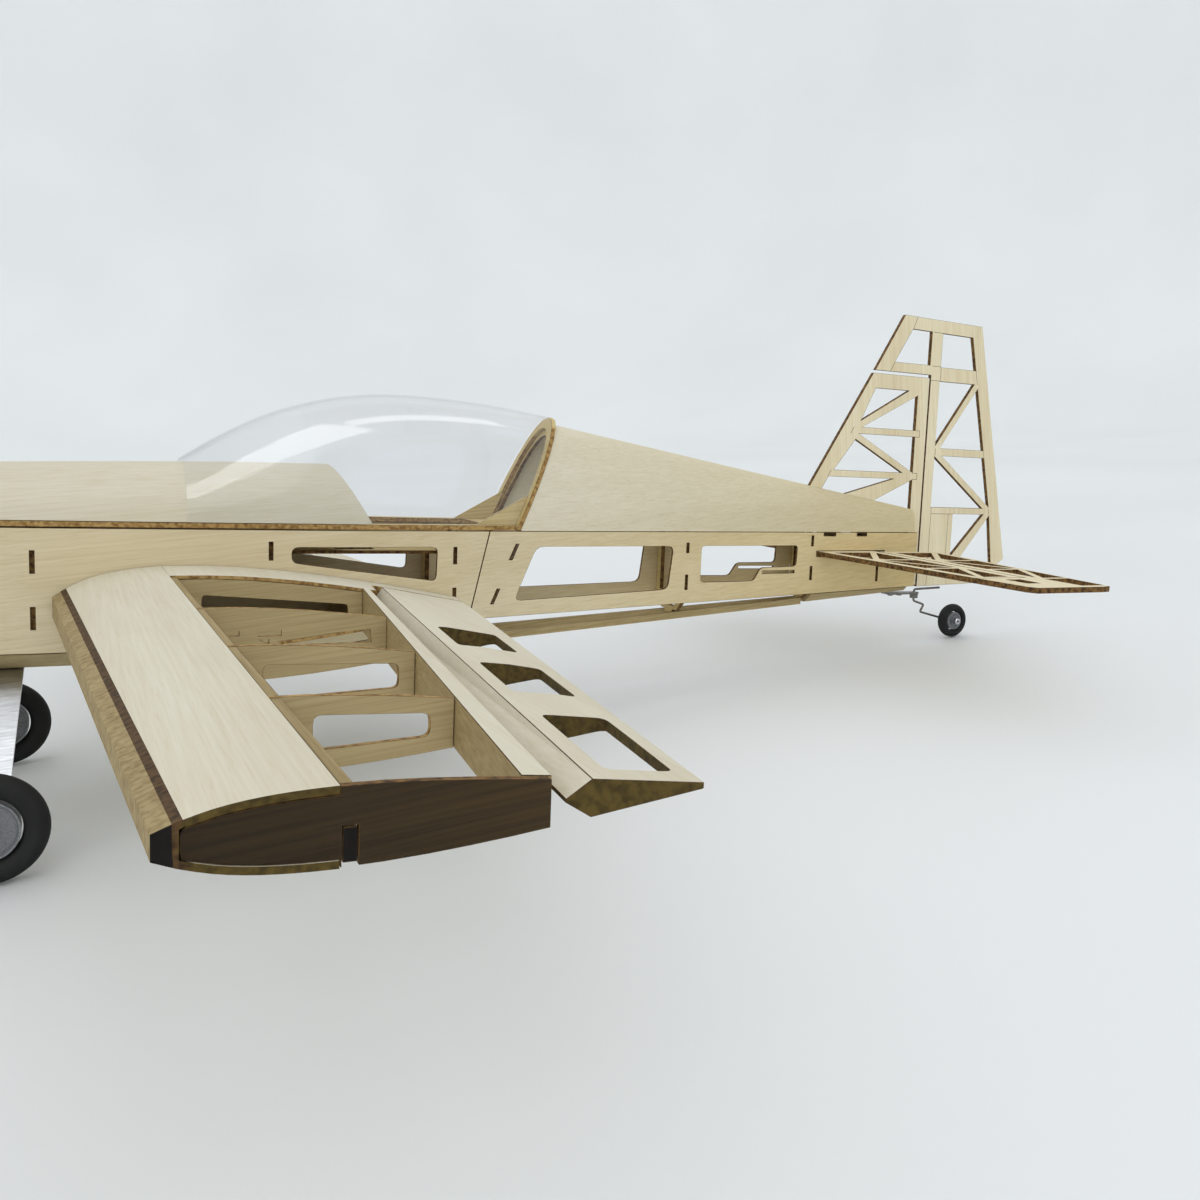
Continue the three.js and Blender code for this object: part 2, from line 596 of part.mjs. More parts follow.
// A long opening behind the main spar, from x0 to x1, with half heights h0 and h1 at its two ends.
const bayHole = (z, [x0, x1, h0, h1]) =>
  rounded([[x0, z + h0], [x1, z + h1], [x1, z - h1], [x0, z - h0]], 2.5);

// One rib. Under sheeting its edge is lowered; behind the sheeting it comes up to the surface.
function wingRib(y, isCovered, rearHoles, hasFrontHole, isTip) {
  const z = wingValue(WING.z, y);
  const front = wingValue(WING.le, y) + LE_STICK + 0.6 + GAP;
  const rear = isTip ? wingValue(WING.hinge, y) - 4 : wingValue(WING.stripFront, y + RIB) - GAP;
  const lowered = SHEET + GAP;
  const upper = between(front, DBOX_REAR + GAP, 4).map((x) => [x, halfThick(x, y + RIB) - lowered]);
  between(DBOX_REAR + GAP, rear, 5).forEach((x) => {
    upper.push([x + 0.01, halfThick(x, y + RIB) - (isCovered ? lowered : 0.2)]);
  });
  const outline = [...upper.map(([x, h]) => [x, z + h]),
    ...upper.slice().reverse().map(([x, h]) => [x, z - h])];
  const frontHoleStart = front + 9;
  const frontHole = [[frontHoleStart, z + 3.5], [-8, z + halfThick(-8, y) * 0.5],
    [-8, z - halfThick(-8, y) * 0.5], [frontHoleStart, z - 3.5]];
  const holes = hasFrontHole ? [...rearHoles, rounded(frontHole, 2.5)] : rearHoles;
  const plate = plateXZ(outline, -y, RIB, holes);
  const sparSlot = box(SPAR.x - GAP, SPAR.x + SPAR.thickness + GAP, -y - 10, -y + 10, z - 60, z + 0.2);
  return cut(plate, [sparSlot]);
}

function mainSpar() {
  const edge = (y, drop) => [-y, halfThick(SPAR.x + 1.5, y) - drop];
  const sheeted = ROOT_SHEET_Y + GAP;
  const profile = [edge(41.2, SHEET + GAP), edge(sheeted, SHEET + GAP), edge(sheeted, 1),
    edge(HALF_SPAN - 0.6, 1)];
  const outline = [...profile.map(([y, h]) => [y, wingValue(WING.z, y) + h]),
    ...profile.slice().reverse().map(([y, h]) => [y, wingValue(WING.z, y) - h])];
  const notches = RIB_YS.map((y) => {
    const z = wingValue(WING.z, y);
    return box(-20, 30, -y - RIB - GAP, -y + GAP, z - 0.2, z + 60);
  });
  return cut(plateYZ(outline, SPAR.x, SPAR.thickness), notches);
}

function rearSpar() {
  const section = (y, lowered) => {
    const z = wingValue(WING.z, y);
    const [x0, x1] = [wingValue(WING.stripFront, y), wingValue(WING.hinge, y) - STRIP_GAP];
    const [h0, h1] = [halfThick(x0, y) - lowered, halfThick(x1, y) - lowered];
    return [[x0, h0], [x1, h1], [x1, -h1], [x0, -h0]].map(([x, h]) => new THREE.Vector3(x, -y, z + h));
  };
  const lowered = SHEET + GAP;
  return loft([section(41.2, lowered), section(ROOT_SHEET_Y + 0.2, lowered),
    section(ROOT_SHEET_Y + 0.4, 0), section(RIB_YS.at(-1) - GAP, 0)]);
}

// Sheeting between the fuselage and the second rib, with the solid trailing block inboard of the aileron.
function rootFairing() {
  const sheetSection = (y, sign) => {
    const z = wingValue(WING.z, y);
    const xs = between(DBOX_REAR + GAP, wingValue(WING.hinge, y) + 0.4, 6);
    const outer = xs.map((x) => [x, sign * halfThick(x, y)]);
    const inner = xs.slice().reverse().map((x) => [x, sign * (halfThick(x, y) - SHEET)]);
    return [...outer, ...inner].map(([x, h]) => new THREE.Vector3(x, -y, z + h));
  };
  const blockSection = (atFuselage) => {
    const y = atFuselage ? 41.2 : ROOT_BLOCK_Y;
    const z = wingValue(WING.z, y);
    const xs = between(wingValue(WING.hinge, y) - 0.4, wingValue(WING.te, y), 3);
    const ring = [...xs.map((x) => [x, Math.max(halfThick(x, y), AILERON.teHalf)]),
      ...xs.slice().reverse().map((x) => [x, -Math.max(halfThick(x, y), AILERON.teHalf)])];
    return ring.map(([x, h]) =>
      new THREE.Vector3(x, atFuselage ? -halfWidth(x) - 0.7 : -y, z + h));
  };
  const sheets = [1, -1].map((sign) => loft([sheetSection(41.2, sign), sheetSection(ROOT_SHEET_Y, sign)]));
  return join([...sheets, loft([blockSection(true), blockSection(false)])]);
}

function aileron() {
  const section = (y) => {
    const z = wingValue(WING.z, y);
    const hinge = wingValue(WING.hinge, y);
    const te = wingValue(WING.te, y);
    const shoulder = hinge + AILERON.bevel;
    const h = halfThick(shoulder, y);
    return [[hinge, 0.4], [shoulder, h], [te, AILERON.teHalf], [te, -AILERON.teHalf], [shoulder, -h],
      [hinge, -0.4]].map(([x, s]) => new THREE.Vector3(x, -y, z + s));
  };
  const windows = AILERON_WINDOWS.spans.map(([y0, y1]) => {
    const front = (y) => wingValue(WING.hinge, y) + AILERON.bevel + AILERON_WINDOWS.frontMargin;
    const rear = (y) => wingValue(WING.te, y) - wingValue(AILERON_WINDOWS.rearMargins, y);
    return plateXY(rounded([[front(y0), -y0], [rear(y0), -y0], [rear(y1), -y1], [front(y1), -y1]], 3),
      -80, 80);
  });
  return cut(loft([section(AILERON.inner), section(AILERON.outer)]), windows);
}

// ---------------------------------------------------------------- tail surfaces
const HALF_STICK = 2.6;

function fin() {
  const post = 554;
  const rear = FIN_HINGE_X - HINGE_GAP;
  const outline = [[455.2, 10], [455.2, 34.8], [509, 124], [rear, 124], [rear, -43.2], [553, -43.2],
    [553, 10]];
  const le = (z) => 457.3 + (z - 38.2) * 0.6;
  const leWidth = 10.5;
  const bays = [
    [[512, 112.5], [545, 112.5], [499.5, 86.5]],
    inset([[post, 112], [post, 79], [le(79) + 9, 79]], [0, HALF_STICK, HALF_STICK]),
    inset([[le(79) + 6, 79], [post, 79], [post, 45]], [HALF_STICK, 0, HALF_STICK]),
    inset([[le(79) + 6, 79], [post, 45], [le(45), 45]], [HALF_STICK, HALF_STICK, leWidth]),
    inset([[le(45), 45], [post, 45], [le(14), 14]], [HALF_STICK, HALF_STICK, leWidth]),
    inset([[post, 45], [post, 16], [492, 16]], [0, 3, HALF_STICK]),
  ];
  return plateXZ(outline, STICK / 2, STICK, bays);
}

function rudder() {
  const front = FIN_HINGE_X + HINGE_GAP;
  const post = front + 9.5;
  const te = (z) => 616.5 + (169 - z) * 0.2225;
  const outline = [[front, -44.6], [628, -42.4], [te(-22), -22], [616.5, 169], [536.5, 171],
    [510.5, 126.4], [front, 126.4]];
  const edge = (z) => te(z) - 11.5;
  const bays = [
    [[529, 134], [564.5, 134], [564.5, 160.4], [545, 160.8]],
    [[post, 133.2], [edge(133), 133.2], [edge(159), 159.4], [post, 160]],
    inset([[post, 122], [edge(122), 122], [post, 66]], [0, HALF_STICK, 0]),
    inset([[edge(122), 122], [edge(66), 66], [post, 66]], [0, HALF_STICK, HALF_STICK]),
    inset([[post, 65], [edge(65), 65], [edge(18), 18]], [HALF_STICK, 0, HALF_STICK]),
    inset([[post, 65], [edge(18), 18], [post, 18]], [HALF_STICK, HALF_STICK, 0]),
    inset([[599.5, 18], [edge(18), 18], [599.5, -24]], [HALF_STICK, HALF_STICK, 0]),
    inset([[edge(18), 18], [edge(-22) - 2, -30], [599.5, -30]], [0, 5, HALF_STICK]),
  ];
  return plateXZ(outline, STICK / 2, STICK, bays);
}

const stabValue = (pair, y) => lookup([[STAB.root, pair[0]], [STAB.tip, pair[1]]], y);

// Lightening bays of one tail panel: between spanwise members, cut by ribs and alternate diagonals.
function trussBays(frontX, rearX, stations) {
  const bays = [];
  for (let i = 0; i + 1 < stations.length; i += 1) {
    const [a, b] = [stations[i], stations[i + 1]];
    const [fa, ra, fb, rb] = [[frontX(a), a], [rearX(a), a], [frontX(b), b], [rearX(b), b]];
    const rib = HALF_STICK;
    if (i % 2 === 0) {
      bays.push(inset([fa, ra, fb], [rib, HALF_STICK, 0]), inset([ra, rb, fb], [0, rib, HALF_STICK]));
    } else {
      bays.push(inset([fa, ra, rb], [rib, 0, HALF_STICK]), inset([fa, rb, fb], [HALF_STICK, rib, 0]));
    }
  }
  return bays;
}

function stabiliser() {
  const frontX = (y) => stabValue(STAB.le, y) + 8;
  const rearX = (y) => stabValue(STAB.hinge, y) - 9.5;
  const end = STAB.hornY - 1;
  const half = [[stabValue(STAB.le, 8), 8], [stabValue(STAB.le, end), end],
    [stabValue(STAB.hinge, end) - HINGE_GAP, end], [stabValue(STAB.hinge, 8) - HINGE_GAP, 8]];
  const outline = [...half.map(([x, y]) => [x, y]), ...half.slice().reverse().map(([x, y]) => [x, -y])];
  const bays = trussBays(frontX, rearX, [21, 76, 131, end - 3]);
  const holes = [...bays, ...bays.map((bay) => bay.map(([x, y]) => [x, -y]).reverse())];
  return plateXY(outline, STAB.z - STICK / 2, STICK, holes);
}

function elevator() {
  const front = (y) => stabValue(STAB.hinge, y) + HINGE_GAP;
  const te = (y) => stabValue(STAB.te, y);
  const outline = [[front(15), 15], [te(18), 18], [te(STAB.tip) - 6, STAB.tip - 1],
    [te(STAB.tip) - 14, STAB.tip + 1], [stabValue(STAB.le, STAB.tip) + 4, STAB.tip + 1],
    [stabValue(STAB.le, STAB.tip), STAB.tip - 5], [stabValue(STAB.le, STAB.hornY), STAB.hornY],
    [front(STAB.hornY), STAB.hornY]];
  const frontX = (y) => front(y) + 9;
  const rearX = (y) => te(y) - 7;
  const bays = trussBays(frontX, rearX, [24, 82, 140, 192]);
  bays.push(inset([[frontX(192), 192], [rearX(192), 192], [rearX(230), 230], [frontX(230), 230]],
    [HALF_STICK, 0, 0, 0]));
  bays.push([[476, 196], [489, 196], [487, 216], [476, 216]]);
  return plateXY(outline.map(([x, y]) => [x, -y]), STAB.z - STICK / 2, STICK,
    bays.map((bay) => bay.map(([x, y]) => [x, -y])));
}

// ---------------------------------------------------------------- tail wheel
function tailBracket() {
  const plate = plateXY([[536, -5.5], [FIN_HINGE_X + 2, -3.5], [FIN_HINGE_X + 2, 3.5], [536, 5.5]],
    -50.6, 1.6);
  const eye = new THREE.CylinderGeometry(3.4, 3.4, 5, 16).rotateX(Math.PI / 2)
    .translate(FIN_HINGE_X, 0, -51.6);
  const boreR = TAIL_WIRE_R + RUNNING;
  const bore = new THREE.CylinderGeometry(boreR, boreR, 30, 12).rotateX(Math.PI / 2)
    .translate(FIN_HINGE_X, 0, -50);
  const screws = [541, 550].map((x) => new THREE.CylinderGeometry(2.2, 2.2, 1.6, 10)
    .rotateX(Math.PI / 2).translate(x, 0, -51));
  return cut(join([plate, eye, ...screws]), [bore]);
}

function tailStrut() {
  const w = TAIL_WHEEL;
  const v = (x, y, z) => new THREE.Vector3(x, y, z);
  const axleY = w.y + w.width / 2 + 2.5;
  const points = [v(592, 0, -46), v(FIN_HINGE_X + 1, 0, -47), v(FIN_HINGE_X, 0, -48),
    v(FIN_HINGE_X, 0, -56.5), v(577, 0.5, -60), v(574, 1, -66), v(w.x - 3, axleY, w.z),
    v(w.x, axleY - 0.6, w.z)];
  const spheres = points.slice(1, -1).map((p) =>
    new THREE.SphereGeometry(0.92, 6, 4).translate(p.x, p.y, p.z));
  const rods = points.slice(1).map((p, i) => {
    const a = points[i];
    const length = a.distanceTo(p);
    const rod = new THREE.CylinderGeometry(TAIL_WIRE_R, TAIL_WIRE_R, length, 6);
    rod.applyQuaternion(new THREE.Quaternion().setFromUnitVectors(
      v(0, 1, 0), p.clone().sub(a).normalize()));
    return rod.translate((a.x + p.x) / 2, (a.y + p.y) / 2, (a.z + p.z) / 2);
  });
  const axle = rodY(w.x, w.z, TAIL_WIRE_R, axleY + 0.4, w.y - w.width / 2 - 4, 8);
  const collar = rodY(w.x, w.z, 2.6, w.y - w.width / 2 - 0.6, w.y - w.width / 2 - 3.4, 12);
  return join([...rods, ...spheres, axle, collar]);
}

// A wheel's tyre and hub, turned about the y axis.
function tyre(r, width, inner) {
  const half = width / 2;
  const profile = [[inner, -half * 0.7], [r - half * 0.75, -half], [r - half * 0.2, -half * 0.62], [r, 0],
    [r - half * 0.2, half * 0.62], [r - half * 0.75, half], [inner, half * 0.7], [inner, -half * 0.7]];
  return new THREE.LatheGeometry(profile.map(([a, b]) => new THREE.Vector2(a, b)), 24);
}

function hub(r, width, bore) {
  const half = width / 2;
  const profile = [[bore, -half], [bore + 2.2, -half], [bore + 2.6, -half * 0.45], [r - 2, -half * 0.45],
    [r - 1, -half * 0.75], [r, -half * 0.75], [r, half * 0.75], [r - 1, half * 0.75],
    [r - 2, half * 0.45], [bore + 2.6, half * 0.45], [bore + 2.2, half], [bore, half], [bore, -half]];
  return new THREE.LatheGeometry(profile.map(([a, b]) => new THREE.Vector2(a, b)), 18);
}

// ---------------------------------------------------------------- main landing gear
const tilt = THREE.MathUtils.degToRad(TAIL_LOW);
const standingHeight = (x, z) => -x * Math.sin(tilt) + z * Math.cos(tilt);
const groundHeight = standingHeight(TAIL_WHEEL.x, TAIL_WHEEL.z) - TAIL_WHEEL.r;
const mainAxleZ = (groundHeight + MAIN_WHEEL.r + MAIN_WHEEL.x * Math.sin(tilt)) / Math.cos(tilt);

function mainLeg() {
  const thickness = 2.6;
  const top = -78 - GAP;
  const stations = [[0, top, 15], [30, top, 15], [44, top - 7, 14], [86, mainAxleZ + 13, 9.5],
    [94, mainAxleZ + 5, 8.5], [96, mainAxleZ - 9, 7]];
  const path = [...stations.slice(1).reverse().map(([y, z, w]) => [-y, z, w]), ...stations];
  const sections = path.map(([y, z, w], i) => {
    const before = path[Math.max(i - 1, 0)];
    const after = path[Math.min(i + 1, path.length - 1)];
    const dir = new THREE.Vector2(after[0] - before[0], after[1] - before[1]).normalize();
    const [ny, nz] = [dir.y * thickness, -dir.x * thickness];
    return [[w, 0], [-w, 0], [-w, 1], [w, 1]].map(([dx, s]) =>
      new THREE.Vector3(MAIN_WHEEL.x + dx, y + ny * s, z + nz * s));
  });
  return loft(sections);
}

function mainAxle() {
  const [x, z] = [MAIN_WHEEL.x, mainAxleZ];
  const bolt = rodY(x, z, MAIN_BOLT_R, -99.4, -MAIN_WHEEL.y - MAIN_WHEEL.width / 2 - 7);
  const head = rodY(x, z, 4, -99.4, -102.4, 6);
  const nut = rodY(x, z, 3.6, -MAIN_WHEEL.y - MAIN_WHEEL.width / 2 - 2.5,
    -MAIN_WHEEL.y - MAIN_WHEEL.width / 2 - 5.5, 6);
  return join([bolt, head, nut]);
}

// ---------------------------------------------------------------- assembly
addPair("side_front", frontSide(), balsaSide);
addPair("side_rear", rearSide(), balsaSide);
add("firewall", firewall(), ply);
add("former_wing_front", boxFormer(FORMER_XS.wingFront, 7), ply);
add("former_wing_rear", boxFormer(FORMER_XS.wingRear, 7), ply);
add("former_slanted", slantedFormer(), ply);
add("former_mid", midFormer(), ply);
add("former_rear", turtleFormer(FORMER_XS.rear, 4.5), ply);
add("former_tail", tailFormer(), ply);
add("turtle_deck", turtleDeck(), balsa);
addPair("belly_rail", bellyRail(), balsaSide);
add("belly_front", frontBelly(), balsaSide);
add("belly_rear", rearBelly(), balsaSide);
add("radio_tray", radioTray(), ply);
add("gear_plate", gearPlate(), ply);
add("wing_tube", wingTube(), aluminium);

add("hatch_frame", hatchFrame(), ply);
add("deck_sheet", deckSheet(), balsa);
add("canopy", canopy(), clearSheet);

const RIB_HOLES = [[17, 92, 10, 4], [17, 92, 10, 3.6], null, [14, 62, 6.4, 4.6], [14, 48, 5.2, 3.6], null];
// The third rib carries the servo: two tab slots over a long tapering opening. The tip rib is solid.
const SERVO_RIB = 2;
const servoHoles = (z) => [
  [[15, z + 6], [19.3, z + 6], [19.3, z + 3.8], [15, z + 3.8]],
  [[26.6, z + 5.8], [36.6, z + 5.8], [36.6, z + 3.3], [26.6, z + 3.3]],
  [[27, z + 2], [31.5, z + 2], [31.5, z - 0.6]],
  [[34.5, z + 2.2], [75, z + 5.2], [75.6, z - 1], [36.5, z - 1]],
];
RIB_YS.forEach((y, i) => {
  const z = wingValue(WING.z, y);
  const isTip = i === RIB_YS.length - 1;
  const holesByPlace = RIB_HOLES[i] ? [bayHole(z, RIB_HOLES[i])] : [];
  const holes = i === SERVO_RIB ? servoHoles(z) : holesByPlace;
  const takesTube = i < TUBE_RIBS;
  let rib = wingRib(y, i < 2, holes, !isTip && !takesTube, isTip);
  if (takesTube) rib = cut(rib, [rodY(TUBE.x, TUBE.z, TUBE.r + GAP, -60 - y, 0, 20)]);
  addPair(`wing_rib_${i + 1}`, rib, isTip ? plySide : balsaSide);
});
addPair("leading_edge_box", leadingEdgeBox(), balsa);
addPair("main_spar", mainSpar(), plySide);
addPair("rear_spar", rearSpar(), balsa);
addPair("root_fairing", rootFairing(), balsa);
addPair("aileron", aileron(), balsa);

add("fin", fin(), balsa);
add("rudder", rudder(), balsa);
add("stabiliser", stabiliser(), balsa);
addPair("elevator", elevator(), balsa);

add("tail_bracket", tailBracket(), steel);
add("tail_strut", tailStrut(), steel);
add("tail_tyre", tyre(TAIL_WHEEL.r, TAIL_WHEEL.width, 7.6)
  .translate(TAIL_WHEEL.x, TAIL_WHEEL.y, TAIL_WHEEL.z), blackRubber);
add("tail_hub", hub(7.3, TAIL_WHEEL.width - 0.6, TAIL_WIRE_R + RUNNING)
  .translate(TAIL_WHEEL.x, TAIL_WHEEL.y, TAIL_WHEEL.z), greyPlastic);

add("main_gear_leg", mainLeg(), aluminium);
addPair("main_axle", mainAxle(), steel);
addPair("main_tyre", tyre(MAIN_WHEEL.r, MAIN_WHEEL.width, 15.3)
  .translate(MAIN_WHEEL.x, -MAIN_WHEEL.y, mainAxleZ), blackRubber);
addPair("main_hub", hub(15, MAIN_WHEEL.width - 1, MAIN_BOLT_R + RUNNING)
  .translate(MAIN_WHEEL.x, -MAIN_WHEEL.y, mainAxleZ), greyPlastic);

// Nose-up standing attitude, then the origin under the centre of the bounding box.
airframe.rotation.y = tilt;
airframe.updateMatrixWorld(true);
const bounds = new THREE.Box3().setFromObject(airframe, true);
const centre = bounds.getCenter(new THREE.Vector3());
airframe.position.set(-centre.x, -centre.y, -bounds.min.z);
airframe.updateMatrixWorld(true);

const part = new THREE.Group();
part.add(airframe);
part.updateMatrixWorld(true);

export default part;
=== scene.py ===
"""Looks of an uncovered balsa and plywood aerobatic model aeroplane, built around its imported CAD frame."""

import json
import math

import bmesh
import bpy
from mathutils import Matrix, Vector

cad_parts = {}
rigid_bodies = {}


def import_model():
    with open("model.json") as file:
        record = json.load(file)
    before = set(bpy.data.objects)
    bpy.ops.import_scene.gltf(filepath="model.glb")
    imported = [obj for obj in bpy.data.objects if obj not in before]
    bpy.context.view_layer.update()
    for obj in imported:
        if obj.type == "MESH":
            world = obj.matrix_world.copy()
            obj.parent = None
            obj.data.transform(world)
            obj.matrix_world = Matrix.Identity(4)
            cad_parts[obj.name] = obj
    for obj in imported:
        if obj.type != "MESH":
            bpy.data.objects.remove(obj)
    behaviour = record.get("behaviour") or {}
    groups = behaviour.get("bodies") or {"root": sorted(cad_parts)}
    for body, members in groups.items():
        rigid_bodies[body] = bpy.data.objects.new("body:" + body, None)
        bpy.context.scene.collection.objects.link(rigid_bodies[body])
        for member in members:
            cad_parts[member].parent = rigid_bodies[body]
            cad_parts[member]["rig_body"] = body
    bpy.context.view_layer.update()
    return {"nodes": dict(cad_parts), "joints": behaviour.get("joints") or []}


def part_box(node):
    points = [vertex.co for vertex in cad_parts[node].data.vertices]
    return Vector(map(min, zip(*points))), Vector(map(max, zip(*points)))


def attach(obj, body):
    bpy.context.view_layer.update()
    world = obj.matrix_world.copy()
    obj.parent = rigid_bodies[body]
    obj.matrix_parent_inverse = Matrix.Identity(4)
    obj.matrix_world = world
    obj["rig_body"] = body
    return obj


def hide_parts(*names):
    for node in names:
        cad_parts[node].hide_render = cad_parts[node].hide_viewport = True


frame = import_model()
nodes = frame["nodes"]
joints = {j["name"]: j for j in frame["joints"]}

# The aeroplane stands nose-up, so its own axes are turned from the row's about Y.
UP = Vector(joints["hatch_lift"]["axis"]).normalized()
ACROSS = Vector((0, 1, 0))
AFT = ACROSS.cross(UP)
PITCH = math.atan2(UP.x, UP.z)

EDGE_WEAR = 0.00022     # width of the scorched line along a laser-cut edge
FACE_COSINE = 0.72      # a face within this of the sheet's normal is uncut
FLAT_COSINE = 0.9995    # the same, for plates whose cut walls lie nearly square to it
SAME_POINT = 0.00001    # points closer than this are one
HARD_EDGE = 35          # degrees: sharper edges are cut edges, and stay sharp
JOINT_HALF_WIDTH = 0.00016
JOINT_PROUD = 0.00003   # how far a joint line stands out of the wood
WIRE_RADIUS = 0.0009
WIRE_BEND = 0.0016      # how far from each corner a bend in the wire starts
CANOPY_AIM = (-0.1, 0.0, 0.2)


# ------------------------------------------------------------------ materials
def linear(*rgb):
    """A colour given as it looks on a screen, 0 to 255, as the linear values a shader takes."""
    scaled = [c / 255 for c in rgb]
    return tuple(c / 12.92 if c <= 0.04045 else ((c + 0.055) / 1.055) ** 2.4 for c in scaled) + (1.0,)


class Shader:
    """A node material, with short calls for the nodes that the materials share."""

    def __init__(self, name, roughness, metallic=0.0):
        self.material = bpy.data.materials.new(name)
        self.material.use_nodes = True
        self.tree = self.material.node_tree
        self.surface = self.tree.nodes["Principled BSDF"]
        self.surface.inputs["Roughness"].default_value = roughness
        self.surface.inputs["Metallic"].default_value = metallic

    def node(self, kind, **settings):
        made = self.tree.nodes.new(kind)
        for key, value in settings.items():
            setattr(made, key, value)
        return made

    def link(self, source, target):
        self.tree.links.new(source, target)

    def stretched(self, scale):
        """Object coordinates, lined up with the aeroplane and stretched along its grain."""
        coordinates = self.node("ShaderNodeTexCoord")
        mapping = self.node("ShaderNodeMapping")
        mapping.inputs["Scale"].default_value = scale
        mapping.inputs["Rotation"].default_value = (0, -PITCH, 0)
        self.link(coordinates.outputs["Object"], mapping.inputs["Vector"])
        return mapping.outputs["Vector"]

    def noise(self, vector, scale=1.0, detail=4.0):
        made = self.node("ShaderNodeTexNoise")
        made.inputs["Scale"].default_value = scale
        made.inputs["Detail"].default_value = detail
        self.link(vector, made.inputs["Vector"])
        return made.outputs["Fac"]

    def ramp(self, value, *stops):
        made = self.node("ShaderNodeValToRGB")
        elements = made.color_ramp.elements
        while len(elements) < len(stops):
            elements.new(0.5)
        for element, (position, colour) in zip(elements, stops):
            element.position = position
            element.color = colour
        self.link(value, made.inputs["Fac"])
        return made.outputs["Color"]

    def multiply(self, first, second, share=1.0):
        made = self.node("ShaderNodeMix", data_type="RGBA", blend_type="MULTIPLY")
        made.inputs["Factor"].default_value = share
        self.link(first, made.inputs["A"])
        self.link(second, made.inputs["B"])
        return made.outputs["Result"]

    def change(self, value, start, end, first, last):
        """A slow change of tone from first to last as a value runs from start to end."""
        place = self.node("ShaderNodeMapRange")
        place.inputs["From Min"].default_value = start
        place.inputs["From Max"].default_value = end
        self.link(value, place.inputs["Value"])
        return self.ramp(place.outputs["Result"], (0.0, (*first, 1)), (1.0, (*last, 1)))

    def drift(self, start, end, first, last):
        """A change of tone along the row's x, in metres."""
        coordinates = self.node("ShaderNodeTexCoord")
        axes = self.node("ShaderNodeSeparateXYZ")
        self.link(coordinates.outputs["Object"], axes.inputs["Vector"])
        return self.change(axes.outputs["X"], start, end, first, last)

    def outwards(self, start, end, first, last):
        """A change of tone with distance from the origin, in metres."""
        coordinates = self.node("ShaderNodeTexCoord")
        distance = self.node("ShaderNodeVectorMath", operation="LENGTH")
        self.link(coordinates.outputs["Object"], distance.inputs[0])
        return self.change(distance.outputs["Value"], start, end, first, last)

    def colour(self, source):
        self.link(source, self.surface.inputs["Base Color"])

    def bump(self, height, strength, distance):
        made = self.node("ShaderNodeBump")
        made.inputs["Strength"].default_value = strength
        made.inputs["Distance"].default_value = distance
        self.link(height, made.inputs["Height"])
        self.link(made.outputs["Normal"], self.surface.inputs["Normal"])


GRAIN = {"x": (13, 900, 900), "y": (900, 13, 900), "z": (900, 900, 13)}
BOARD = {"x": (2, 24, 24), "y": (24, 2, 24), "z": (24, 24, 2)}
PORES = {"x": (45, 2200, 2200), "y": (2200, 45, 2200), "z": (2200, 2200, 45)}
WHITE = (1, 1, 1, 1)
WOOD_SPECULAR = 0.2         # bare wood hardly mirrors


def wood(name, pale, deep, grain, pore_shade=0.88, drift=None):
    """Bare sheet: broad bands between boards, fine streaks along the grain and short darker pores."""
    s = Shader(name, 0.66)
    s.surface.inputs["Specular IOR Level"].default_value = WOOD_SPECULAR
    streak = s.noise(s.stretched(GRAIN[grain]), detail=6)
    board = s.noise(s.stretched(BOARD[grain]), detail=3)
    pores = s.noise(s.stretched(PORES[grain]), detail=2)
    base = s.ramp(streak, (0.28, linear(*deep)), (0.70, linear(*pale)))
    tone = s.ramp(board, (0.30, (0.90, 0.875, 0.82, 1)), (0.65, WHITE))
    fleck = s.ramp(pores, (0.30, (pore_shade, pore_shade * 0.95, pore_shade * 0.88, 1)), (0.40, WHITE))
    shade = s.multiply(s.multiply(base, tone), fleck, 0.8)
    s.colour(s.multiply(shade, s.drift(*drift)) if drift else shade)
    s.bump(streak, 0.2, 0.00012)
    return s.material


def scorched(name, light, dark, size=420, drift=None):
    """A laser-cut face: toasted wood with darker stippling, in soft patches."""
    s = Shader(name, 0.78)
    s.surface.inputs["Specular IOR Level"].default_value = WOOD_SPECULAR
    patches = s.noise(s.stretched((60, 60, 60)), detail=4)
    stipple = s.noise(s.stretched((size, size, size)), detail=4)
    base = s.ramp(stipple, (0.36, linear(*dark)), (0.60, linear(*light)))
    shade = s.multiply(base, s.ramp(patches, (0.3, (0.80, 0.76, 0.70, 1)), (0.7, WHITE)))
    s.colour(s.multiply(shade, s.drift(*drift)) if drift else shade)
    s.bump(stipple, 0.3, 0.0001)
    return s.material


def clear_sheet():
    """Thin clear plastic: it lets light straight through and mirrors more at a glancing angle."""
    s = Shader("clear_sheet", 0.04)
    through = s.node("ShaderNodeBsdfTransparent")
    through.inputs["Color"].default_value = (0.985, 0.987, 0.99, 1)
    gloss = s.node("ShaderNodeBsdfGlossy")
    gloss.inputs["Roughness"].default_value = 0.07
    weight = s.node("ShaderNodeLayerWeight")
    weight.inputs["Blend"].default_value = 0.5
    levels = ((0.0, 0.035), (0.55, 0.06), (0.85, 0.16), (1.0, 0.5))
    share = s.ramp(weight.outputs["Facing"], *((place, (level, level, level, 1)) for place, level in levels))
    mix = s.node("ShaderNodeMixShader")
    s.link(share, mix.inputs["Fac"])
    s.link(through.outputs["BSDF"], mix.inputs[1])
    s.link(gloss.outputs["BSDF"], mix.inputs[2])
    s.link(mix.outputs["Shader"], s.tree.nodes["Material Output"].inputs["Surface"])
    s.tree.nodes.remove(s.surface)
    return s.material


